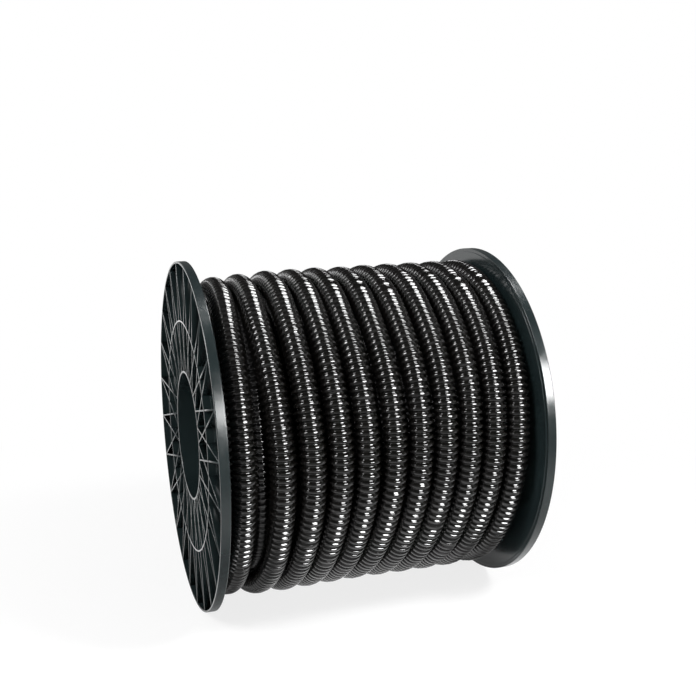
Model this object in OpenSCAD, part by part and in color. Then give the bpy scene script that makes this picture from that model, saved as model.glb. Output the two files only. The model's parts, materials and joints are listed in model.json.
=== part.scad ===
// Reel of corrugated conduit.
//
// A moulded plastic reel stands on the rims of its two flanges, with its axis level along X.
// Corrugated conduit is wound on its barrel in two layers. The origin is on the floor, under
// the middle of the reel. Left is the -X side.

/* [Reel] */
// Outside diameter of both flanges
flange_d = 400; // [390:1:480]
// Width of the reel over both flanges
reel_w = 367.5; // [340:0.5:460]
// Diameter of the bore that takes the spindle
bore_d = 144; // [80:1:160]

/* [Rim] */
// Width of the rim along the axis
rim_w = 10; // [8:0.5:14]
// Radial thickness of the rim
rim_wall = 2.2; // [1.8:0.1:5]
// Radius of the rim's two outer edges
rim_round = 0.8; // [0.3:0.1:0.9]
// Height of the winding face above the rim's inner edge
face_rise = 1; // [0.4:0.1:2]
// Radial width of the ledge between the winding face and the rim's outside
face_ledge = 4; // [3:0.1:8]

/* [Flange] */
// Thickness of the web that the winding lies against
web_t = 1.8; // [1.4:0.1:3.5]
// Thickness of each laced rib
rib_t = 2; // [1.6:0.1:4]
// Number of points on the rim where two ribs meet
rib_nodes = 24; // [12:2:30]
// Angle between a rim point and the foot of its rib on the hub ring
rib_lean = 13.7; // [6:0.1:18]
// Angle of the first rim point
rib_phase = 9.5; // [0:0.5:15]
// Drop of the rib crests from the rim to the hub ring
crest_drop = 1.6; // [0:0.1:3]
// Radial thickness of the hub ring around the bore
hub_wall = 2.6; // [2:0.1:6]
// Reach of the hub sleeve into the barrel
sleeve_len = 40; // [15:1:80]
// Radius of the ring half way out, at the middle of its wall
mid_ring_r = 132; // [110:1:150]
// Radial thickness of that ring
mid_ring_t = 2; // [1.6:0.1:4]
// Depth of that ring's crest below the rim's edge
mid_ring_drop = 2.4; // [1:0.1:4]
// Reach of the locating spigot into the barrel
spigot_len = 8; // [4:0.5:20]
// Radial thickness of the locating spigot
spigot_t = 2.2; // [1.6:0.1:4]
// Clearance between the spigot and the barrel
spigot_gap = 0.3; // [0.1:0.05:0.6]

/* [Barrel] */
// Outside diameter of the barrel
barrel_d = 268; // [240:1:290]
// Wall of the barrel
barrel_wall = 3; // [2:0.1:6]

/* [Conduit] */
// Outside diameter of the conduit, over its corrugations
conduit_od = 28.5; // [20:0.5:30]
// Distance from turn to turn along the axis
turn_pitch = 30; // [30:0.5:34]
// Step from the first turn, which leans on the left flange, to the second
first_step = 38.5; // [36:0.5:44]

/* [Hidden] */
$fn = 96;
over = 1;

flange_r = flange_d / 2;
bore_r = bore_d / 2;
hub_r = bore_r + hub_wall;
rim_in_r = flange_r - rim_wall;
face_edge_r = flange_r - face_ledge;

// Heights on a flange: 0 is the winding face, and they rise to the outside.
flange_w = rim_w + face_rise;
hub_crest = flange_w - crest_drop;
mid_crest = flange_w - mid_ring_drop;
half_winding = reel_w / 2 - flange_w;

barrel_r = barrel_d / 2;
barrel_in_r = barrel_r - barrel_wall;
spigot_r = barrel_in_r - spigot_gap;

// The outer layer lies in the grooves of the inner one.
nest_step = sqrt(pow(conduit_od, 2) - pow(turn_pitch / 2, 2));
inner_layer_r = barrel_r + conduit_od / 2;
outer_layer_r = inner_layer_r + nest_step;
core_r = inner_layer_r + conduit_od / 2;

// Places of the turns along the axis.
first_turn_x = conduit_od / 2 - half_winding;
second_turn_x = first_turn_x + first_step;
last_turn_limit = half_winding - conduit_od / 2;
outer_turns = concat([first_turn_x], [for (x = [second_turn_x : turn_pitch : last_turn_limit]) x]);
inner_turns = [for (x = [second_turn_x - turn_pitch / 2 : turn_pitch : last_turn_limit]) x];

// Stands a shape turned about Z on the reel's axis, with its top towards the right.
module on_axis() {
    translate([0, 0, flange_r])
        rotate([0, 90, 0])
            children();
}

// Section of the rim, with its two outer edges rounded.
module rim_section() {
    translate([rim_in_r, face_rise])
        square([rim_wall - rim_round, rim_w]);
    translate([rim_in_r, face_rise + rim_round])
        square([rim_wall, rim_w - 2 * rim_round]);
    for (height = [face_rise + rim_round, flange_w - rim_round])
        translate([flange_r - rim_round, height])
            circle(rim_round);
}

// Section of the web, which steps back to a ledge beside the rim.
module web_section() {
    translate([bore_r, 0])
        square([face_edge_r - bore_r, web_t]);
    translate([face_edge_r - web_t, face_rise])
        square([rim_in_r + over - face_edge_r + web_t, web_t]);
}

// Section of the hub sleeve, the middle ring and the spigot that locates the barrel.
module ring_sections() {
    translate([bore_r, -sleeve_len])
        square([hub_wall, sleeve_len + hub_crest]);
    translate([mid_ring_r - mid_ring_t / 2, 0])
        square([mid_ring_t, mid_crest]);
    translate([spigot_r - spigot_t, -spigot_len])
        square([spigot_t, spigot_len + over]);
}

// One straight rib from a rim point to the hub ring, drawn flat.
module rib(rim_angle, hub_angle) {
    rim_end = (flange_r - rim_wall / 2) * [cos(rim_angle), sin(rim_angle)];
    hub_end = (bore_r + hub_wall / 2) * [cos(hub_angle), sin(hub_angle)];
    run = rim_end - hub_end;
    translate(hub_end)
        rotate(atan2(run.y, run.x))
            translate([0, -rib_t / 2])
                square([norm(run), rib_t]);
}

// The lacing: two ribs from each rim point, which cross the ribs of its neighbours.
module lacing() {
    for (i = [0 : rib_nodes - 1], side = [-1, 1]) {
        rim_angle = rib_phase + 360 / rib_nodes * i;
        rib(rim_angle, rim_angle + side * rib_lean);
    }
}

// Space that the ribs may fill: their crests slope from the rim down to the hub ring.
module rib_envelope() {
    hub_mid_r = bore_r + hub_wall / 2;
    rim_mid_r = flange_r - rim_wall / 2;
    rotate_extrude()
        polygon([
            [hub_mid_r, web_t / 2],
            [face_edge_r - web_t / 2, web_t / 2],
            [face_edge_r - web_t / 2, face_rise + web_t / 2],
            [rim_mid_r, face_rise + web_t / 2],
            [rim_mid_r, flange_w],
            [rim_in_r, flange_w],
            [hub_r, hub_crest],
            [hub_mid_r, hub_crest]
        ]);
}

// A flange with its winding face at height 0 and its ribs on top.
module flange() {
    union() {
        rotate_extrude() {
            rim_section();
            web_section();
            ring_sections();
        }
        intersection() {
            linear_extrude(flange_w)
                lacing();
            rib_envelope();
        }
    }
}

module flange_right() {
    color("darkslategray")
        on_axis()
            translate([0, 0, half_winding])
                flange();
}

// The same moulding, turned round.
module flange_left() {
    color("darkslategray")
        on_axis()
            rotate([180, 0, 0])
                translate([0, 0, half_winding])
                    flange();
}

module barrel() {
    color("darkslategray")
        on_axis()
            translate([0, 0, -half_winding])
                difference() {
                    cylinder(h = 2 * half_winding, r = barrel_r);
                    translate([0, 0, -over])
                        cylinder(h = 2 * (half_winding + over), r = barrel_in_r);
                }
}

// The wound conduit as one turned solid: a plain core, with each turn round on its outside
// and on both ends.
module conduit() {
    core_start = inner_turns[0];
    core_end = inner_turns[len(inner_turns) - 1];
    color("black")
        on_axis()
            rotate_extrude()
                union() {
                    translate([barrel_r, core_start])
                        square([core_r - barrel_r, core_end - core_start]);
                    translate([inner_layer_r, first_turn_x])
                        square([outer_layer_r - inner_layer_r, core_start - first_turn_x]);
                    for (x = outer_turns)
                        translate([outer_layer_r, x])
                            circle(d = conduit_od);
                    for (x = inner_turns)
                        translate([inner_layer_r, x])
                            circle(d = conduit_od);
                }
}

flange_left();
flange_right();
barrel();
conduit();
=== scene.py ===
"""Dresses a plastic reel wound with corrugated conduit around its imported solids.

Every length is in metres in the row frame: the reel's axis runs along X at the height of the
flange radius, and the floor is at height 0.
"""

from __future__ import annotations

import json
import logging
import math
from dataclasses import dataclass, field
from enum import Enum

import bpy
import numpy as np
from mathutils import Matrix, Vector

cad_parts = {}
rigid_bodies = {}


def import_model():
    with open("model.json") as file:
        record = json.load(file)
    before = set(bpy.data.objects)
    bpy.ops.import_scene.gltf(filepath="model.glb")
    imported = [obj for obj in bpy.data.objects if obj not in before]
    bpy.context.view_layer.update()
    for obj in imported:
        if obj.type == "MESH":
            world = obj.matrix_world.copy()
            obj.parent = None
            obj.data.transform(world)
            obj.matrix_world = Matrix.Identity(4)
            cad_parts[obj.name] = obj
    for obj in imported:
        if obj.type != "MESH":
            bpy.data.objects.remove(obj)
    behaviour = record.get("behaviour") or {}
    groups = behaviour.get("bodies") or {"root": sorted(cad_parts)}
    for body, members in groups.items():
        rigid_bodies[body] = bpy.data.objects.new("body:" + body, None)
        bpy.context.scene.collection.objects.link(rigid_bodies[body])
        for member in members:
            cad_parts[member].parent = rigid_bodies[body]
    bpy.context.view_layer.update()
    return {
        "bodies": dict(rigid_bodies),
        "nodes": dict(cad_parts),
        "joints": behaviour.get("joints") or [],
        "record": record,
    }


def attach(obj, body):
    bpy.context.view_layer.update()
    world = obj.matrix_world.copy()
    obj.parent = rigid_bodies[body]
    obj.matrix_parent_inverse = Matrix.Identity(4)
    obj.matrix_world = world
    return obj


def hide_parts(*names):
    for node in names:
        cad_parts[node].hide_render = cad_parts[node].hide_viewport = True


LOG = logging.getLogger("reel")
MM = 0.001


class Side(Enum):
    """The two ends of the reel, as the sign of their place along the axis."""

    LEFT = -1
    RIGHT = 1


class Nodes:
    """Short ways to add and join the nodes of one tree."""

    def __init__(self, tree: bpy.types.NodeTree) -> None:
        """Starts on a geometry or shader tree."""
        self.tree = tree

    def add(self, kind: str, settings: dict | None = None, **inputs: object) -> bpy.types.Node:
        """Adds a node.

        Args:
            kind: the node's class name.
            settings: the node's own properties.
            inputs: values or sockets by input name, with underscores for spaces.

        Returns:
            The new node.
        """
        node = self.tree.nodes.new(kind)
        for name, value in (settings or {}).items():
            setattr(node, name, value)
        for name, value in inputs.items():
            self.feed(node.inputs[name.replace("_", " ")], value)
        return node

    def feed(self, socket: bpy.types.NodeSocket, value: object) -> None:
        """Joins a socket to another, or gives it a plain value.

        Args:
            socket: the input that is fed.
            value: the output that it is joined to, or the value that it holds.
        """
        if isinstance(value, bpy.types.NodeSocket):
            self.tree.links.new(value, socket)
        else:
            socket.default_value = value

    def math(self, operation: str, *values: object) -> bpy.types.NodeSocket:
        """Adds a sum, a product or the like.

        Args:
            operation: the Math node's operation.
            values: its inputs in order, as numbers or sockets.

        Returns:
            The socket of the result.
        """
        node = self.tree.nodes.new("ShaderNodeMath")
        node.operation = operation
        for socket, value in zip(node.inputs, values):
            self.feed(socket, value)
        return node.outputs[0]

    def soft_step(self, value: bpy.types.NodeSocket, start: float,
                  end: float) -> bpy.types.NodeSocket:
        """Adds a number that rises smoothly from 0 at the start to 1 at the end.

        Args:
            value: the number that is read.
            start: where the rise starts.
            end: where it ends, which may be less than the start.

        Returns:
            The socket of the new number.
        """
        return self.add("ShaderNodeMapRange", {"interpolation_type": "SMOOTHSTEP"},
                        Value=value, From_Min=start, From_Max=end).outputs[0]

    def glow(self, strength: object) -> bpy.types.NodeSocket:
        """Adds a shader that gives off white light of a strength."""
        return self.add("ShaderNodeEmission", Color=(1, 1, 1, 1), Strength=strength).outputs[0]

    def matt(self, grey: float) -> bpy.types.NodeSocket:
        """Adds a matt grey shader."""
        return self.add("ShaderNodeBsdfDiffuse", Color=(grey, grey, grey, 1)).outputs[0]

    def blend(self, share: object, first: bpy.types.NodeSocket,
              second: bpy.types.NodeSocket) -> bpy.types.NodeSocket:
        """Adds a shader between two others.

        Args:
            share: how much of the second one shows, from 0 to 1.
            first: the shader at a share of 0.
            second: the shader at a share of 1.

        Returns:
            The socket of the new shader.
        """
        node = self.add("ShaderNodeMixShader")
        for socket, value in zip(node.inputs, (share, first, second)):
            self.feed(socket, value)
        return node.outputs[0]


def new_material(name: str) -> tuple[bpy.types.Material, Nodes]:
    """Starts a material with an empty tree.

    Args:
        name: the material's name.

    Returns:
        The material and its tree's helper.
    """
    made = bpy.data.materials.new(name)
    made.use_nodes = True
    made.node_tree.nodes.clear()
    return made, Nodes(made.node_tree)


@dataclass(frozen=True)
class Plastic:
    """A moulded or extruded plastic with a fine surface of its own."""

    name: str
    colour: tuple[float, float, float]
    worn_colour: tuple[float, float, float]
    roughness: tuple[float, float]
    patch_scale: float
    grain_scale: float
    grain_height: float
    ior: float = 1.45
    patch_contrast: float = 2.4
    scuff_share: float = 7.0
    scuff_range: tuple[float, float] = (0.3, 0.7)

    def material(self) -> bpy.types.Material:
        """Builds the finish: slow colour patches, uneven gloss and a fine grain.

        Returns:
            The material, which reads Object coordinates only.
        """
        made, nodes = new_material(self.name)
        place = nodes.add("ShaderNodeTexCoord").outputs["Object"]
        patches = nodes.add("ShaderNodeTexNoise", Vector=place, Scale=self.patch_scale,
                            Detail=4.0, Roughness=0.55).outputs["Fac"]
        colour = nodes.add("ShaderNodeMix", {"data_type": "RGBA"})
        nodes.feed(colour.inputs[0], nodes.math(
            "MULTIPLY_ADD", patches, self.patch_contrast, (1 - self.patch_contrast) / 2))
        nodes.feed(colour.inputs[6], (*self.colour, 1))
        nodes.feed(colour.inputs[7], (*self.worn_colour, 1))
        low, high = self.roughness
        scuffs = nodes.add("ShaderNodeTexNoise", Vector=place, Detail=3.0,
                           Scale=self.patch_scale * self.scuff_share).outputs["Fac"]
        rough = nodes.add("ShaderNodeMapRange", Value=scuffs, From_Min=self.scuff_range[0],
                          From_Max=self.scuff_range[1], To_Min=low, To_Max=high).outputs[0]
        grain = nodes.add("ShaderNodeTexNoise", Vector=place, Scale=self.grain_scale,
                          Detail=2.0).outputs["Fac"]
        bump = nodes.add("ShaderNodeBump", Strength=1.0, Distance=self.grain_height,
                         Height=grain).outputs[0]
        shader = nodes.add("ShaderNodeBsdfPrincipled", Base_Color=colour.outputs[2],
                           Roughness=rough, IOR=self.ior, Normal=bump)
        out = nodes.add("ShaderNodeOutputMaterial")
        nodes.feed(out.inputs["Surface"], shader.outputs[0])
        return made


REEL_PLASTIC = Plastic("reel plastic", (0.011, 0.018, 0.019), (0.016, 0.025, 0.026),
                       (0.17, 0.25), 14, 2600, 0.000003, 1.5)
BARREL_PLASTIC = Plastic("barrel plastic", (0.012, 0.015, 0.015), (0.016, 0.019, 0.019),
                         (0.42, 0.55), 18, 1800, 0.00004)
CONDUIT_PLASTIC = Plastic("conduit plastic", (0.0036, 0.0033, 0.0030), (0.0054, 0.0049, 0.0043),
                          (0.09, 0.15), 20, 1500, 0.000003, 1.55)


class Drawer:
    """Turns arrays and trees into plain mesh objects."""

    @staticmethod
    def link(name: str, data: bpy.types.ID) -> bpy.types.Object:
        """Makes an object at the origin.

        Args:
            name: the object's name.
            data: its mesh, light or camera.

        Returns:
            The object, which is in the scene.
        """
        made = bpy.data.objects.new(name, data)
        bpy.context.scene.collection.objects.link(made)
        return made

    @classmethod
    def mesh(cls, name: str, points: np.ndarray, faces: list) -> bpy.types.Object:
        """Makes a smooth mesh object.

        Args:
            name: the name of the object and its mesh.
            points: one point a row, in metres.
            faces: the numbers of each face's points.

        Returns:
            The object.
        """
        data = bpy.data.meshes.new(name)
        data.from_pydata(points.tolist(), [], faces)
        data.polygons.foreach_set("use_smooth", [True] * len(data.polygons))
        data.update()
        return cls.link(name, data)

    @staticmethod
    def remove(made: bpy.types.Object) -> None:
        """Takes a helper object out of the scene."""
        bpy.data.objects.remove(made, do_unlink=True)

    @classmethod
    def grown(cls, source: bpy.types.Object, tree: bpy.types.NodeTree,
              values: dict, name: str) -> bpy.types.Object:
        """Runs a geometry tree on an object and keeps the result as a plain mesh.

        Args:
            source: the object that the tree starts from, which is removed.
            tree: the geometry tree.
            values: what its named inputs are set to.
            name: the new object's name.

        Returns:
            The new mesh object, with no modifier.
        """
        modifier = source.modifiers.new("shape", "NODES")
        modifier.node_group = tree
        for item in tree.interface.items_tree:
            if item.item_type == "SOCKET" and item.name in values:
                modifier[item.identifier] = values[item.name]
        bpy.context.view_layer.update()
        view = bpy.context.evaluated_depsgraph_get()
        data = bpy.data.meshes.new_from_object(source.evaluated_get(view))
        data.name = name
        source.modifiers.remove(modifier)
        cls.remove(source)
        return cls.link(name, data)


def new_tree(name: str, inputs: dict) -> tuple[Nodes, bpy.types.Node, bpy.types.Node]:
    """Starts a geometry tree with named inputs.

    Args:
        name: the tree's name.
        inputs: socket type by input name; a geometry input comes first.

    Returns:
        The tree's helper, its input node and its output node.
    """
    tree = bpy.data.node_groups.new(name, "GeometryNodeTree")
    face = tree.interface
    face.new_socket("Geometry", in_out="INPUT", socket_type="NodeSocketGeometry")
    face.new_socket("Geometry", in_out="OUTPUT", socket_type="NodeSocketGeometry")
    for title, kind in inputs.items():
        face.new_socket(title, in_out="INPUT", socket_type="NodeSocket" + kind)
    nodes = Nodes(tree)
    return nodes, nodes.add("NodeGroupInput"), nodes.add("NodeGroupOutput")


@dataclass
class Lay:
    """Where the conduit's centre line runs: whole turns stand at the top of the reel.

    The turn number rises from the top to the back, the bottom, the front and the top again.
    Each row holds a turn number, the place along the axis and the radius, in millimetres. The
    turns of the outer layer hold their bottom and top radius, and their place along the axis at
    each share of the turn from the bottom up the front to the top. At the back share, a row half
    way between two turns is added. The rise is where the conduit climbs from the inner layer to
    the outer one, and the second turn passes over it.
    """

    axis_height: float = 0.2
    inner_radius: float = 148.25
    inner_start: float = -9.05
    inner_end: float = -1.0
    inner_rows: int = 17
    inner_pitch: float = 29.9
    inner_zero: float = -121.0
    rise: list[tuple[float, float, float]] = field(default_factory=lambda: [
        (-0.50, -114.0, 148.3), (-0.25, -131.4, 148.3), (0.00, -128.6, 148.3),
        (0.10, -131.0, 148.3), (0.21, -142.0, 148.3), (0.33, -154.5, 154.0)])
    over_rise: list[tuple[float, float, float]] = field(default_factory=lambda: [
        (1.06, -140.6, 167.6), (1.16, -135.5, 176.3), (1.25, -131.6, 177.0),
        (1.36, -128.2, 175.6)])
    shares: tuple[float, ...] = (0.5, 0.66, 0.75, 0.82, 0.9, 1.0)
    back_share: float = 1.25
    front: list[tuple[float, ...]] = field(default_factory=lambda: [
        (169.5, 165.6, -156.0, -153.8, -153.0, -152.8, -150.8, -143.4),
        (174.5, 168.4, -126.6, -115.8, -113.7, -116.0, -118.5, -114.6),
        (174.8, 170.6, -96.6, -86.0, -81.5, -83.6, -85.4, -81.8),
        (174.0, 171.0, -68.2, -57.8, -51.8, -52.9, -54.4, -51.2),
        (173.2, 171.4, -41.0, -29.6, -22.7, -23.2, -25.4, -21.8),
        (173.0, 171.0, -12.8, -0.7, 7.2, 7.9, 6.0, 10.0),
        (173.0, 171.6, 19.0, 28.1, 36.3, 38.3, 36.7, 39.5),
        (173.4, 171.8, 47.4, 56.5, 64.6, 67.7, 67.2, 69.8),
        (173.6, 171.8, 77.4, 85.0, 92.9, 97.0, 97.6, 99.6),
        (173.2, 172.2, 106.8, 113.5, 121.1, 125.5, 127.3, 129.2),
        (172.4, 172.2, 141.5, 145.2, 149.5, 154.2, 157.4, 158.1)])
    tail: list[tuple[float, float, float]] = field(default_factory=lambda: [
        (11.12, 158.2, 172.3)])

    def table(self) -> np.ndarray:
        """Puts all the rows in order, from the inner layer to the tail.

        Returns:
            Turn number, place along the axis and radius, one row each, in millimetres.
        """
        turns = np.linspace(self.inner_start, self.inner_end, self.inner_rows)
        rows = [(t, self.inner_zero - self.inner_pitch * t, self.inner_radius) for t in turns]
        rows += self.rise
        for number, (low, high, *places) in enumerate(self.front):
            for share, along in zip(self.shares, places):
                rows.append((number + share, along, low + (high - low) * (2 * share - 1)))
            if number == 0:
                rows += self.over_rise
            elif number + 1 < len(self.front):
                on = self.front[number + 1]
                rows.append((number + self.back_share, (places[-1] + on[2]) / 2,
                             (high + on[0]) / 2))
        return np.array(rows + self.tail)

    def centre(self, turns: np.ndarray) -> np.ndarray:
        """Finds points of the centre line.

        Args:
            turns: turn numbers.

        Returns:
            One point a row, in metres.
        """
        table = self.table()
        known, values = table[:, 0], table[:, 1:]
        slope = np.gradient(values, known, axis=0)
        at = np.clip(np.searchsorted(known, turns) - 1, 0, len(known) - 2)
        step = (known[at + 1] - known[at])[:, None]
        t = ((turns - known[at]) / step[:, 0])[:, None]
        smooth = ((2 * t**3 - 3 * t**2 + 1) * values[at]
                  + (t**3 - 2 * t**2 + t) * step * slope[at]
                  + (3 * t**2 - 2 * t**3) * values[at + 1]
                  + (t**3 - t**2) * step * slope[at + 1]) * MM
        along, radius = smooth.T
        angle = 2 * np.pi * turns
        return np.column_stack([along, radius * np.sin(angle),
                                self.axis_height + radius * np.cos(angle)])


@dataclass
class Winding:
    """The corrugated conduit, wound in two layers.

    The rib section holds a share of the pitch and a share of the rib's height, from the middle of
    a valley to the middle of a crest. The cuts are the turn numbers at which the pieces part. The
    open end runs from one turn number to another: its last rib is cut short, and its bore is
    built as far as it can be seen.
    """

    lay: Lay = field(default_factory=Lay)
    crest_radius: float = 14.25 * MM
    valley_radius: float = 11.3 * MM
    rib_section: tuple[tuple[float, float], ...] = (
        (0.0, 0.0), (0.13, 0.03), (0.255, 0.72), (0.315, 0.91), (0.39, 0.975), (0.5, 1.0))
    rib_pitch: float = 7.2 * MM
    wall: float = 0.9 * MM
    points_a_turn: int = 72
    inner_sides: int = 12
    outer_sides: int = 20
    quick_sides: int = 12
    cuts: tuple[float, ...] = (-1.5, 1.45, 4.65, 7.85)
    open_end: tuple[float, float] = (11.06, 11.12)
    end_sides: int = 32
    end_points: int = 200
    end_rings_off: int = 4
    bore_rings: int = 50
    node: str = "conduit"
    slot: str = "conduit_plastic"

    @staticmethod
    def choice(nodes: Nodes, index: bpy.types.NodeSocket, values: list) -> bpy.types.NodeSocket:
        """Adds a node that picks one of several numbers.

        Args:
            nodes: the helper of the tree.
            index: the place in the list of the number that is picked.
            values: the numbers.

        Returns:
            The socket of the number.
        """
        node = nodes.add("GeometryNodeIndexSwitch", {"data_type": "FLOAT"})
        while len(node.index_switch_items) < len(values):
            node.index_switch_items.new()
        nodes.feed(node.inputs[0], index)
        for socket, value in zip(node.inputs[1:], values):
            nodes.feed(socket, value)
        return node.outputs[0]

    def tree(self, finish: bpy.types.Material) -> bpy.types.NodeTree:
        """Builds the tree that sweeps a round section with its ribs along a centre line.

        Args:
            finish: the conduit's plastic.

        Returns:
            The geometry tree.
        """
        nodes, given, out = new_tree("corrugated conduit", {
            "Rib Pitch": "Float", "Crest Radius": "Float", "Valley Radius": "Float",
            "Ring Step": "Int", "Sides": "Int"})
        half = len(self.rib_section) - 1
        rib_rings = 2.0 * half
        line = nodes.add("GeometryNodeMeshToCurve", Mesh=given.outputs["Geometry"]).outputs[0]
        length = nodes.add("GeometryNodeCurveLength", Curve=line).outputs[0]
        ribs = nodes.math("ROUND", nodes.math("DIVIDE", length, given.outputs["Rib Pitch"]))
        a_rib = nodes.math("DIVIDE", rib_rings, given.outputs["Ring Step"])
        rings = nodes.math("MULTIPLY_ADD", ribs, a_rib, 1.0)
        even = nodes.add("GeometryNodeResampleCurve", Curve=line, Count=rings).outputs[0]
        index = nodes.add("GeometryNodeInputIndex").outputs[0]
        ring = nodes.math("MULTIPLY", index, given.outputs["Ring Step"])
        rib = nodes.math("FLOOR", nodes.math("DIVIDE", nodes.math("ADD", ring, 0.5), rib_rings))
        place = nodes.math("ROUND", nodes.math("PINGPONG", ring, float(half)))
        off_valley = self.choice(nodes, place, [row[0] for row in self.rib_section])
        past = nodes.math("GREATER_THAN", nodes.math(
            "SUBTRACT", ring, nodes.math("MULTIPLY", rib, rib_rings)), half + 0.5)
        back = nodes.math("MULTIPLY_ADD", off_valley, -2.0, 1.0)
        phase = nodes.math("ADD", nodes.math("ADD", rib, off_valley),
                           nodes.math("MULTIPLY", past, back))
        spot = nodes.add("GeometryNodeSampleCurve", {"mode": "FACTOR", "use_all_curves": True},
                         Curves=line, Factor=nodes.math("DIVIDE", phase, ribs))
        set_out = nodes.add("GeometryNodeSetPosition", Geometry=even,
                            Position=spot.outputs["Position"]).outputs[0]
        crown = self.choice(nodes, place, [row[1] for row in self.rib_section])
        depth = nodes.math("SUBTRACT", given.outputs["Crest Radius"],
                           given.outputs["Valley Radius"])
        radius = nodes.math("MULTIPLY_ADD", depth, crown, given.outputs["Valley Radius"])
        circle = nodes.add("GeometryNodeCurvePrimitiveCircle", Resolution=given.outputs["Sides"],
                           Radius=1.0).outputs[0]
        tube = nodes.add("GeometryNodeCurveToMesh", Curve=set_out, Profile_Curve=circle,
                         Scale=radius, Fill_Caps=True).outputs[0]
        # The caps have more corners than the four of a wall's face, and stay flat.
        corners = nodes.add("GeometryNodeInputMeshFaceNeighbors").outputs["Vertex Count"]
        walls = nodes.math("LESS_THAN", corners, 4.5)
        smooth = nodes.add("GeometryNodeSetShadeSmooth", Geometry=tube,
                           Shade_Smooth=walls).outputs[0]
        whole = nodes.add("GeometryNodeRealizeInstances", Geometry=smooth).outputs[0]
        dressed = nodes.add("GeometryNodeSetMaterial", Geometry=whole, Material=finish).outputs[0]
        nodes.feed(out.inputs[0], dressed)
        return nodes.tree

    def run(self, name: str, tree: bpy.types.NodeTree, start: float, end: float,
            step: int, sides: int) -> bpy.types.Object:
        """Makes the conduit from one turn number to another.

        Args:
            name: the piece's name.
            tree: the sweep.
            start: the first turn number.
            end: the last turn number.
            step: how many rings of the rib's section one ring stands for.
            sides: sides of the round section.

        Returns:
            The piece.
        """
        count = round((end - start) * self.points_a_turn)
        points = self.lay.centre(np.linspace(start, end, count))
        data = bpy.data.meshes.new("line")
        data.from_pydata(points.tolist(), [(i, i + 1) for i in range(count - 1)], [])
        return Drawer.grown(Drawer.link("line", data), tree, {
            "Rib Pitch": self.rib_pitch, "Crest Radius": self.crest_radius,
            "Valley Radius": self.valley_radius, "Ring Step": step, "Sides": sides}, name)

    def end_rings(self) -> tuple[np.ndarray, np.ndarray]:
        """Places the rings of the open end.

        Returns:
            The rings' centres, one a row, and their outer radii.
        """
        line = self.lay.centre(np.linspace(*self.open_end, self.end_points))
        steps = np.linalg.norm(np.diff(line, axis=0), axis=1)
        gone = np.concatenate([[0], np.cumsum(steps)])
        ribs = round(gone[-1] / self.rib_pitch)
        falling = [(1 - place, rise) for place, rise in self.rib_section[-2:0:-1]]
        rings = [(rib + place, rise) for rib in range(ribs)
                 for place, rise in list(self.rib_section) + falling]
        place, rise = np.array(rings[:-self.end_rings_off]).T
        at = place / ribs * gone[-1]
        centre = np.column_stack([np.interp(at, gone, line[:, i]) for i in range(3)])
        return centre, self.valley_radius + (self.crest_radius - self.valley_radius) * rise

    def cut_end(self, finish: bpy.types.Material) -> bpy.types.Object:
        """Makes the conduit's outer end, cut square, with its wall and bore.

        Args:
            finish: the conduit's plastic.

        Returns:
            The piece.
        """
        centre, radius = self.end_rings()
        along = np.gradient(centre, axis=0)
        along /= np.linalg.norm(along, axis=1)[:, None]
        up = centre - np.array([0, 0, self.lay.axis_height])
        up -= along * (up * along).sum(1)[:, None]
        up /= np.linalg.norm(up, axis=1)[:, None]
        across = np.cross(along, up)
        outside = list(range(len(radius)))
        bore = outside[::-1][:self.bore_rings]
        order = outside + bore
        radii = list(radius) + list(radius[bore] - self.wall)
        sides = self.end_sides
        angle = np.arange(sides) * 2 * np.pi / sides
        points = np.concatenate([
            centre[i] + r * (np.outer(np.cos(angle), up[i]) + np.outer(np.sin(angle), across[i]))
            for i, r in zip(order, radii)])
        last = len(order) - 1
        faces = [(k * sides + j, k * sides + (j + 1) % sides,
                  (k + 1) * sides + (j + 1) % sides, (k + 1) * sides + j)
                 for k in range(last) for j in range(sides)]
        faces.append(tuple(reversed(range(sides))))
        faces.append(tuple(last * sides + j for j in range(sides)))
        made = Drawer.mesh("conduit_cut_end", points, faces)
        for face in made.data.polygons:
            on_rim = face.index // sides == outside[-1]
            face.use_smooth = len(face.vertices) == 4 and not on_rim
        made.data.materials.append(finish)
        return made

    def build(self) -> list[bpy.types.Object]:
        """Winds both layers, the outer one in pieces of a few turns.

        Returns:
            The pieces, which stand for the solid winding.
        """
        finish = CONDUIT_PLASTIC.material()
        tree = self.tree(finish)
        sides = self.outer_sides
        every_ring, valley_and_crest = 1, len(self.rib_section) - 1
        pieces = [self.run("conduit_inner_layer", tree, self.lay.inner_start, self.cuts[0],
                           valley_and_crest, self.inner_sides)]
        ends = (*self.cuts[1:], self.open_end[0])
        for number, (start, end) in enumerate(zip(self.cuts, ends), start=1):
            pieces.append(self.run(f"conduit_outer_layer_{number}", tree, start, end,
                                   every_ring, sides))
        pieces.append(self.cut_end(finish))
        for piece in pieces:
            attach(piece, "root")
            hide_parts(self.node)
        return pieces


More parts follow.
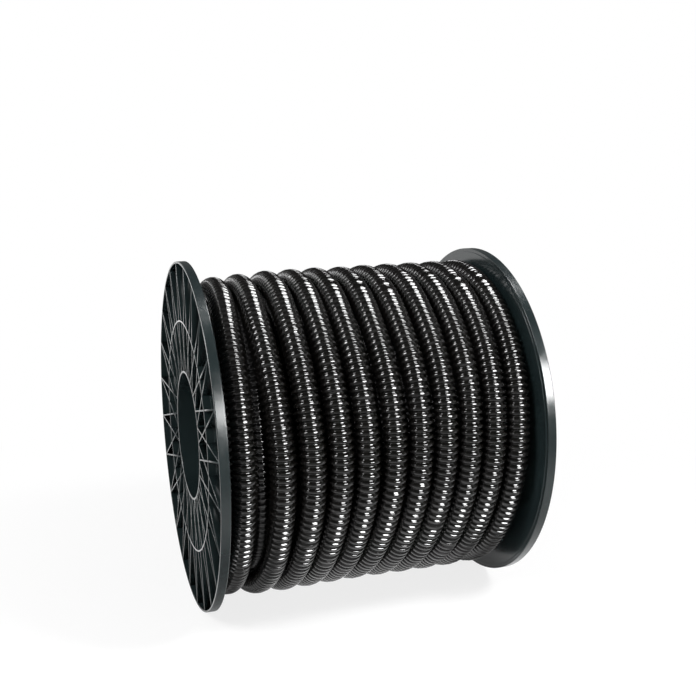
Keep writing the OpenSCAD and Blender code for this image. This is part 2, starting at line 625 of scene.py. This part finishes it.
@dataclass
class Flange:
    """A moulded end plate: a thin web, a rim, three rings and laced ribs on its outside.

    Lengths are in millimetres and angles in degrees, and heights rise from the winding face to the
    outside. A rib's half section holds its half width and its depth below the crest, from just
    over the foot to the crest. A rounded corner is held by a point a little way out on each side.
    """

    side: Side
    finish: bpy.types.Material
    radius: float = 200.0
    bore_radius: float = 72.0
    winding_face: float = 172.75
    width: float = 11.0
    web: float = 1.8
    rim_wall: float = 2.2
    hub_wall: float = 2.6
    hub_crest: float = 9.4
    sleeve: float = 40.0
    ring_radius: float = 132.0
    ring_wall: float = 2.0
    ring_crest: float = 10.5
    spigot_radius: float = 130.7
    spigot_wall: float = 2.2
    spigot_length: float = 8.0
    ledge: float = 4.0
    ledge_rise: float = 1.0
    rib_pairs: int = 24
    rib_phase: float = 9.5
    rib_lean: float = 13.7
    rib_height: float = 9.25
    rib_sink: float = 0.05
    rib_foot: float = 1.14
    rib_half: tuple[tuple[float, float], ...] = (
        (0.94, 0.6), (0.93, 0.35), (0.89, 0.18), (0.80, 0.06), (0.64, 0.0))
    segments: int = 240
    corner_steps: int = 3
    corner_hold: float = 1.15
    short_side: float = 2.4
    short_side_hold: float = 1.02
    slot: str = "reel_plastic"

    def outline(self) -> list[tuple[float, float, float]]:
        """Lists the section's corners in order, from the foot of the sleeve outwards and back.

        Returns:
            Radius, height and rounding of each corner.
        """
        rim_in = self.radius - self.rim_wall
        edge = self.radius - self.ledge
        hub = self.bore_radius + self.hub_wall
        spigot_in = self.spigot_radius - self.spigot_wall
        ring_in, ring_out = (self.ring_radius + s * self.ring_wall / 2 for s in (-1, 1))
        top, web = self.width, self.web
        return [
            (self.bore_radius, -self.sleeve, 0.5), (hub, -self.sleeve, 0.5), (hub, 0, 0.6),
            (spigot_in, 0, 0.5), (spigot_in, -self.spigot_length, 0.4),
            (self.spigot_radius, -self.spigot_length, 0.4), (self.spigot_radius, 0, 0.1),
            (edge, 0, 0.35), (edge, self.ledge_rise, 0.25),
            (self.radius, self.ledge_rise, 0.7), (self.radius, top, 0.7),
            (rim_in, top, 0.4), (rim_in, self.ledge_rise + web, 0.7),
            (edge - web, self.ledge_rise + web, 0.4), (edge - web, web, 0.5),
            (ring_out, web, 0.5), (ring_out, self.ring_crest, 0.35),
            (ring_in, self.ring_crest, 0.35), (ring_in, web, 0.5),
            (hub, web, 0.5), (hub, self.hub_crest, 0.5), (self.bore_radius, self.hub_crest, 0.5)]

    def hold(self, length: float, rounding: float) -> float:
        """Returns how many roundings from its corner a side of this length is held."""
        is_long = length > self.short_side * rounding
        return self.corner_hold if is_long else self.short_side_hold

    def section(self) -> np.ndarray:
        """Rounds the corners of the outline.

        Returns:
            The section's points as radius and height, in order.
        """
        corners = self.outline()
        points = []
        for i, (x, y, r) in enumerate(corners):
            here = np.array([x, y])
            back = np.array(corners[i - 1][:2]) - here
            on = np.array(corners[(i + 1) % len(corners)][:2]) - here
            back_length, on_length = np.linalg.norm(back), np.linalg.norm(on)
            back, on = back / back_length, on / on_length
            centre = here + (back + on) * r
            points.append(here + back * r * self.hold(back_length, r))
            for k in range(self.corner_steps + 1):
                turn = k / self.corner_steps * math.pi / 2
                points.append(centre - on * r * math.cos(turn) - back * r * math.sin(turn))
            points.append(here + on * r * self.hold(on_length, r))
        return np.array(points)

    def turned(self) -> bpy.types.Object:
        """Turns the section into the plate.

        Returns:
            The plate, flat, with its axis along Z.
        """
        section = self.section()
        count, turns = len(section), self.segments
        angle = np.arange(turns) * 2 * np.pi / turns
        points = np.stack([np.outer(np.cos(angle), section[:, 0]),
                           np.outer(np.sin(angle), section[:, 0]),
                           np.tile(section[:, 1], (turns, 1))], axis=-1).reshape(-1, 3)
        faces = [(i * count + j, (i + 1) % turns * count + j,
                  (i + 1) % turns * count + (j + 1) % count, i * count + (j + 1) % count)
                 for i in range(turns) for j in range(count)]
        return Drawer.mesh("plate", points * MM, faces)

    def rib_pair(self) -> bpy.types.Object:
        """Makes the two ribs that leave one rim point, with drafted sides and rounded crests.

        Returns:
            Both ribs in one mesh, flat, with the rim point on X.
        """
        half = [(self.rib_foot, 0.0)]
        half += [(y, self.rib_height - depth) for y, depth in self.rib_half]
        section = half + [(-y, z) for y, z in reversed(half)]
        foot = self.rib_sink + self.rib_height
        points, faces = [], []
        for side in (-1, 1):
            lean = math.radians(side * self.rib_lean)
            hub_mid = self.bore_radius + self.hub_wall / 2
            hub = np.array([hub_mid * math.cos(lean), hub_mid * math.sin(lean),
                            self.hub_crest - foot])
            rim = np.array([self.radius - self.rim_wall / 2, 0, self.width - foot])
            run = (rim - hub)[:2] / np.linalg.norm((rim - hub)[:2])
            across = np.array([-run[1], run[0], 0])
            base = len(points)
            for end in (hub, rim):
                points += [end + across * y + np.array([0, 0, z]) for y, z in section]
            n = len(section)
            faces += [(base + i, base + n + i, base + n + (i + 1) % n, base + (i + 1) % n)
                      for i in range(n)]
            faces += [tuple(base + i for i in range(n)),
                      tuple(base + n + i for i in reversed(range(n)))]
        return Drawer.mesh("rib_pair", np.array(points) * MM, faces)

    def tree(self) -> bpy.types.NodeTree:
        """Builds the tree that sets the rib pairs round the plate.

        Returns:
            The geometry tree.
        """
        nodes, given, out = new_tree("laced ribs", {
            "Pair": "Object", "Pairs": "Int", "First Angle": "Float"})
        pair = nodes.add("GeometryNodeObjectInfo", Object=given.outputs["Pair"])
        points = nodes.add("GeometryNodeMeshLine", Count=given.outputs["Pairs"],
                           Offset=(0.0, 0.0, 0.0)).outputs[0]
        index = nodes.add("GeometryNodeInputIndex").outputs[0]
        step = nodes.math("DIVIDE", 2 * math.pi, given.outputs["Pairs"])
        angle = nodes.math("MULTIPLY_ADD", index, step, given.outputs["First Angle"])
        turn = nodes.add("ShaderNodeCombineXYZ", Z=angle).outputs[0]
        ribs = nodes.add("GeometryNodeInstanceOnPoints", Points=points,
                         Instance=pair.outputs["Geometry"], Rotation=turn).outputs[0]
        join = nodes.add("GeometryNodeJoinGeometry")
        nodes.feed(join.inputs[0], given.outputs["Geometry"])
        nodes.feed(join.inputs[0], ribs)
        whole = nodes.add("GeometryNodeRealizeInstances", Geometry=join.outputs[0]).outputs[0]
        dressed = nodes.add("GeometryNodeSetMaterial", Geometry=whole,
                            Material=self.finish).outputs[0]
        nodes.feed(out.inputs[0], dressed)
        return nodes.tree

    def placing(self) -> Matrix:
        """Works out how the flat plate gets to its place on the reel.

        Returns:
            The turn and the step.
        """
        s = self.side.value
        return Matrix(((0, 0, s, s * self.winding_face * MM), (0, s, 0, 0),
                       (-1, 0, 0, self.radius * MM), (0, 0, 0, 1)))

    def build(self) -> bpy.types.Object:
        """Makes the whole moulding and puts it in its place.

        Returns:
            The piece, which stands for the flange's solid.
        """
        name = "flange_" + self.side.name.lower()
        pair = self.rib_pair()
        made = Drawer.grown(self.turned(), self.tree(), {
            "Pair": pair, "Pairs": self.rib_pairs,
            "First Angle": math.radians(self.rib_phase)}, name + "_moulding")
        Drawer.remove(pair)
        made.data.transform(self.placing())
        for face in made.data.polygons:
            face.use_smooth = len(face.vertices) <= 4
        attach(made, "root")
        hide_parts(name)
        return made


@dataclass(frozen=True)
class Barrel:
    """The tube that the conduit is wound on, which keeps its solid."""

    node: str = "barrel"

    def dress(self, frame: dict) -> None:
        """Gives the solid its finish.
        """
        made = frame["nodes"][self.node]
        made.data.materials.clear()
        made.data.materials.append(BARREL_PLASTIC.material())


class Job(Enum):
    """What a lamp does: lights the colours evenly, or shows as a bright panel in the gloss."""

    FILL = "fill"
    SHINE = "shine"


@dataclass
class Softbox:
    """A flat lamp that faces a point of the reel from a direction and a distance."""

    name: str
    job: Job
    direction: tuple[float, float, float]
    distance: float
    size: tuple[float, float]
    power: float

    def build(self, target: Vector) -> bpy.types.Object:
        """Hangs the lamp and turns it to the target.

        Args:
            target: the point that it faces.

        Returns:
            The lamp.
        """
        lamp = bpy.data.lights.new(self.name, "AREA")
        lamp.shape = "ELLIPSE" if self.job is Job.SHINE else "RECTANGLE"
        lamp.size, lamp.size_y = self.size
        lamp.energy = self.power
        made = Drawer.link(self.name, lamp)
        away = Vector(self.direction).normalized()
        made.location = target + away * self.distance
        made.rotation_euler = away.to_track_quat("Z", "Y").to_euler()
        made.visible_camera = False
        made.visible_diffuse = self.job is Job.FILL
        made.visible_glossy = self.job is Job.SHINE
        return made


@dataclass
class Backdrop:
    """The white floor and the low wall all round it, in one sheet.

    The floor keeps a soft shadow near the reel and is plain white further off. The gloss shows it
    dimmer in front and behind on the right. Under the reel, the gloss shows a painted shadow
    beside the inner faces of the flanges and a painted glow, brighter than white, on the rest of
    the floor under the reel. The rings hold a radius and a height. A range holds where one look
    starts to turn into another and where it has done so.
    """

    rings: tuple[tuple[float, float], ...] = (
        (0.7, 0.0), (1.6, 0.0), (3.0, 0.0), (5.0, 0.0), (5.6, 0.12), (6.0, 0.6), (6.1, 1.4),
        (6.1, 3.6))
    sides: int = 72
    paint_grey: float = 0.8
    shadow_grey: float = 0.24
    shadow_glow: float = 0.81
    white: tuple[float, float] = (0.3, 0.75)
    front: tuple[float, float] = (-0.4, -1.0)
    behind: tuple[float, float] = (0.9, 1.7)
    right: tuple[float, float] = (-0.1, 0.25)
    close: tuple[float, float] = (0.42, 0.25)
    beside_flange: tuple[float, float] = (0.08, 0.15)
    outside_flange: tuple[float, float] = (0.175, 0.22)
    dim: float = 0.35
    more_behind: float = -0.23
    # Painted glow: how much the floor's gloss look under the reel rises above the dim level.
    painted_glow_under: float = 1.1

    def build(self) -> None:
        """Makes the sheet, painted."""
        angle = np.arange(self.sides) * 2 * np.pi / self.sides
        points, faces = [(0.0, 0.0, 0.0)], []
        for radius, height in self.rings:
            points += [(radius * math.cos(t), radius * math.sin(t), height) for t in angle]
        for i in range(self.sides):
            on = (i + 1) % self.sides
            faces.append((0, 1 + i, 1 + on))
            for j in range(len(self.rings) - 1):
                low, high = 1 + j * self.sides, 1 + (j + 1) * self.sides
                faces.append((low + i, high + i, high + on, low + on))
        made = Drawer.mesh("backdrop", np.array(points), faces)
        made.data.materials.append(self.paint())

    def seen_white(self, nodes: Nodes, far: bpy.types.NodeSocket) -> bpy.types.NodeSocket:
        """Adds the look of the plain white floor with its soft shadow.

        Args:
            nodes: the paint's tree.
            far: the distance from the middle of the floor.

        Returns:
            The socket of the shader.
        """
        near = nodes.add("ShaderNodeAddShader")
        nodes.feed(near.inputs[0], nodes.matt(self.shadow_grey))
        nodes.feed(near.inputs[1], nodes.glow(self.shadow_glow))
        return nodes.blend(nodes.soft_step(far, *self.white), near.outputs[0], nodes.glow(1.0))

    def seen_in_gloss(self, nodes: Nodes, far: bpy.types.NodeSocket, place: bpy.types.NodeSocket
                 ) -> tuple[bpy.types.NodeSocket, bpy.types.NodeSocket]:
        """Adds the look that the floor has in the gloss where it isn't plain white, with a painted
        glow and painted shadow under the reel.

        Args:
            nodes: the paint's tree.
            far: the distance from the middle of the floor.
            place: the point of the floor.

        Returns:
            The socket of the share in which the look shows, and that of its shader.
        """
        spot = nodes.add("ShaderNodeSeparateXYZ", Vector=place).outputs
        front = nodes.soft_step(spot["Y"], *self.front)
        back = nodes.math("MULTIPLY", nodes.soft_step(spot["Y"], *self.behind),
                          nodes.soft_step(spot["X"], *self.right))
        close = nodes.soft_step(far, *self.close)
        along = nodes.math("ABSOLUTE", spot["X"])
        between = nodes.math("SUBTRACT", 1.0, nodes.soft_step(along, *self.beside_flange))
        outside = nodes.soft_step(along, *self.outside_flange)
        # Painted glow under the reel, brighter than white, left out in a painted shadow band
        # beside each flange's inner face.
        bright = nodes.math("MULTIPLY", close, nodes.math("MAXIMUM", outside, between))
        strength = nodes.math("MULTIPLY_ADD", back, self.more_behind, nodes.math(
            "MULTIPLY_ADD", bright, self.painted_glow_under, self.dim))
        share = nodes.math("MAXIMUM", back, nodes.math("MAXIMUM", front, close))
        return share, nodes.glow(strength)

    def paint(self) -> bpy.types.Material:
        """Builds the paint, which lights the reel as plain matt paint does.

        Returns:
            The material, whose other looks are for what is seen or mirrored alone.
        """
        made, nodes = new_material("backdrop paint")
        place = nodes.add("ShaderNodeTexCoord").outputs["Object"]
        far = nodes.add("ShaderNodeVectorMath", {"operation": "LENGTH"})
        nodes.feed(far.inputs[0], place)
        distance = far.outputs["Value"]
        path = nodes.add("ShaderNodeLightPath").outputs
        share, dim = self.seen_in_gloss(nodes, distance, place)
        room = nodes.blend(nodes.math("MULTIPLY", share, path["Is Glossy Ray"]),
                           self.seen_white(nodes, distance), dim)
        seen = nodes.math("MAXIMUM", nodes.math(
            "MAXIMUM", path["Is Camera Ray"], path["Is Glossy Ray"]), path["Is Transmission Ray"])
        out = nodes.add("ShaderNodeOutputMaterial")
        nodes.feed(out.inputs[0], nodes.blend(seen, nodes.matt(self.paint_grey), room))
        return made


@dataclass
class Camera:
    """The camera, a little above the reel's axis and off to the left, with its turn in degrees."""

    place: tuple[float, float, float] = (-0.3553, -1.1107, 0.5640)
    turn: tuple[float, float, float] = (76.77, 0.0, -18.32)
    lens: float = 52.13
    sensor: float = 36.0
    clip: tuple[float, float] = (0.05, 200.0)

    def build(self) -> None:
        """Sets up the camera and gives it to the scene."""
        lens = bpy.data.cameras.new("camera")
        lens.sensor_width = self.sensor
        lens.lens = self.lens
        lens.clip_start, lens.clip_end = self.clip
        made = Drawer.link("camera", lens)
        made.location = self.place
        made.rotation_euler = [math.radians(angle) for angle in self.turn]
        bpy.context.scene.camera = made


@dataclass
class Studio:
    """The room round the reel: its even light, the backdrop, the lamps and the camera."""

    target: tuple[float, float, float] = (0.0, 0.0, 0.2)
    sky: float = 0.35
    ceiling: float = 0.06
    backdrop: Backdrop = field(default_factory=Backdrop)
    camera: Camera = field(default_factory=Camera)
    lamps: tuple[Softbox, ...] = (
        Softbox("fill_right", Job.FILL, (0.50, -0.52, 0.69), 2.2, (0.5, 0.5), 34.0),
        Softbox("fill_left", Job.FILL, (-0.66, -0.45, 0.60), 2.2, (0.5, 0.5), 26.0),
        Softbox("panel_right", Job.SHINE, (0.35, -0.80, 0.45), 2.2, (1.2, 1.0), 115.0),
        Softbox("panel_left", Job.SHINE, (-0.68, -0.10, 0.70), 2.2, (0.8, 0.8), 40.0),
        Softbox("panel_top", Job.SHINE, (0.30, 0.15, 0.93), 2.2, (0.7, 0.7), 34.0),
        Softbox("panel_back", Job.SHINE, (-0.62, 0.78, -0.04), 0.97, (0.66, 0.3), 0.9))

    def world(self) -> None:
        """Fills the room above the backdrop with an even, weak light, dimmer in the gloss."""
        world = bpy.data.worlds.new("room")
        bpy.context.scene.world = world
        world.use_nodes = True
        nodes = Nodes(world.node_tree)
        glossy = nodes.add("ShaderNodeLightPath").outputs["Is Glossy Ray"]
        strength = nodes.math("MULTIPLY_ADD", glossy, self.ceiling - self.sky, self.sky)
        room = world.node_tree.nodes["Background"]
        nodes.feed(room.inputs[0], (1, 1, 1, 1))
        nodes.feed(room.inputs[1], strength)

    def build(self) -> None:
        """Sets up everything round the reel."""
        self.world()
        self.backdrop.build()
        for lamp in self.lamps:
            lamp.build(Vector(self.target))
        self.camera.build()
        bpy.context.scene.view_settings.view_transform = "Standard"


def main() -> None:
    """Builds the dressed reel."""
    logging.basicConfig(level=logging.INFO, format="%(message)s")
    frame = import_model()
    Studio().build()
    Barrel().dress(frame)
    finish = REEL_PLASTIC.material()
    pieces = Winding().build() + [Flange(side, finish).build() for side in Side]
    for piece in pieces:
        LOG.info("%s: %d faces", piece.name, len(piece.data.polygons))


if __name__ == "__main__":
    main()
